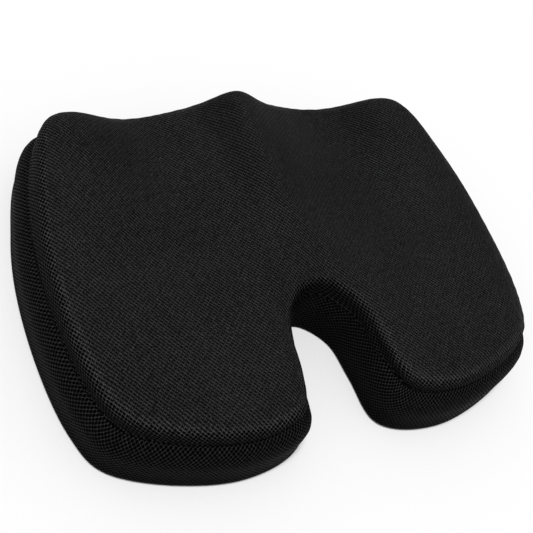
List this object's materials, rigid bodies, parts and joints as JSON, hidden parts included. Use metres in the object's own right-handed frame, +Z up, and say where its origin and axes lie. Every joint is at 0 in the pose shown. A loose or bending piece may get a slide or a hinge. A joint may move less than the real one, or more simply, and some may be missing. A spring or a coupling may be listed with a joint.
{
  "type": "contoured seat cushion",
  "caption": "Contoured foam seat cushion with a rear tailbone cut-out, a front thigh ridge, a zipped mesh cover and a flat non-slip base.",
  "frame": {"origin": "on the floor under the middle of the cushion's plan, on the underside of the base panel", "axes": "+X to the sitter's right, +Y forward to the edge with the thigh ridge, +Z up"},
  "size_m": [0.4564, 0.3556, 0.0898],
  "materials": {
    "cover_mesh": "black knitted spacer mesh",
    "base_fabric": "black woven base cloth with rubber grip dots",
    "seam_tape": "black woven binding tape",
    "liner": "off-white thin jersey",
    "foam": "cream moulded memory foam",
    "zip_tape": "black woven zip tape",
    "zip_coil": "black nylon coil",
    "zip_metal": "black enamelled zinc"
  },
  "bodies": {
    "cushion": {"foam_core": "foam", "inner_liner_upper": "liner", "inner_liner_lower": "liner", "cover_top_panel": "cover_mesh", "cover_side_band": "cover_mesh", "cover_base_panel": "base_fabric", "upper_seam_tape": "seam_tape", "lower_seam_tape": "seam_tape", "zipper_tape_upper": "zip_tape", "zipper_tape_lower": "zip_tape", "zipper_coil_upper": "zip_coil", "zipper_coil_lower": "zip_coil", "zipper_top_stop_upper": "zip_metal", "zipper_top_stop_lower": "zip_metal", "zipper_bottom_stop": "zip_metal"},
    "zip_slider": {"zipper_slider": "zip_metal"},
    "zip_pull": {"zipper_pull": "zip_metal"}
  },
  "joints": [
    {"name": "zip_slide", "type": "hinge", "parent": "cushion", "child": "zip_slider", "pos_m": [0, -0.58215, 0.018], "axis": [0, 0, 1], "range_deg": [0, 13.5]},
    {"name": "pull_flip", "type": "hinge", "parent": "zip_slider", "child": "zip_pull", "pos_m": [0.08969, 0.1742, 0.018], "axis": [0, 0, -1], "range_deg": [0, 165]}
  ]
}
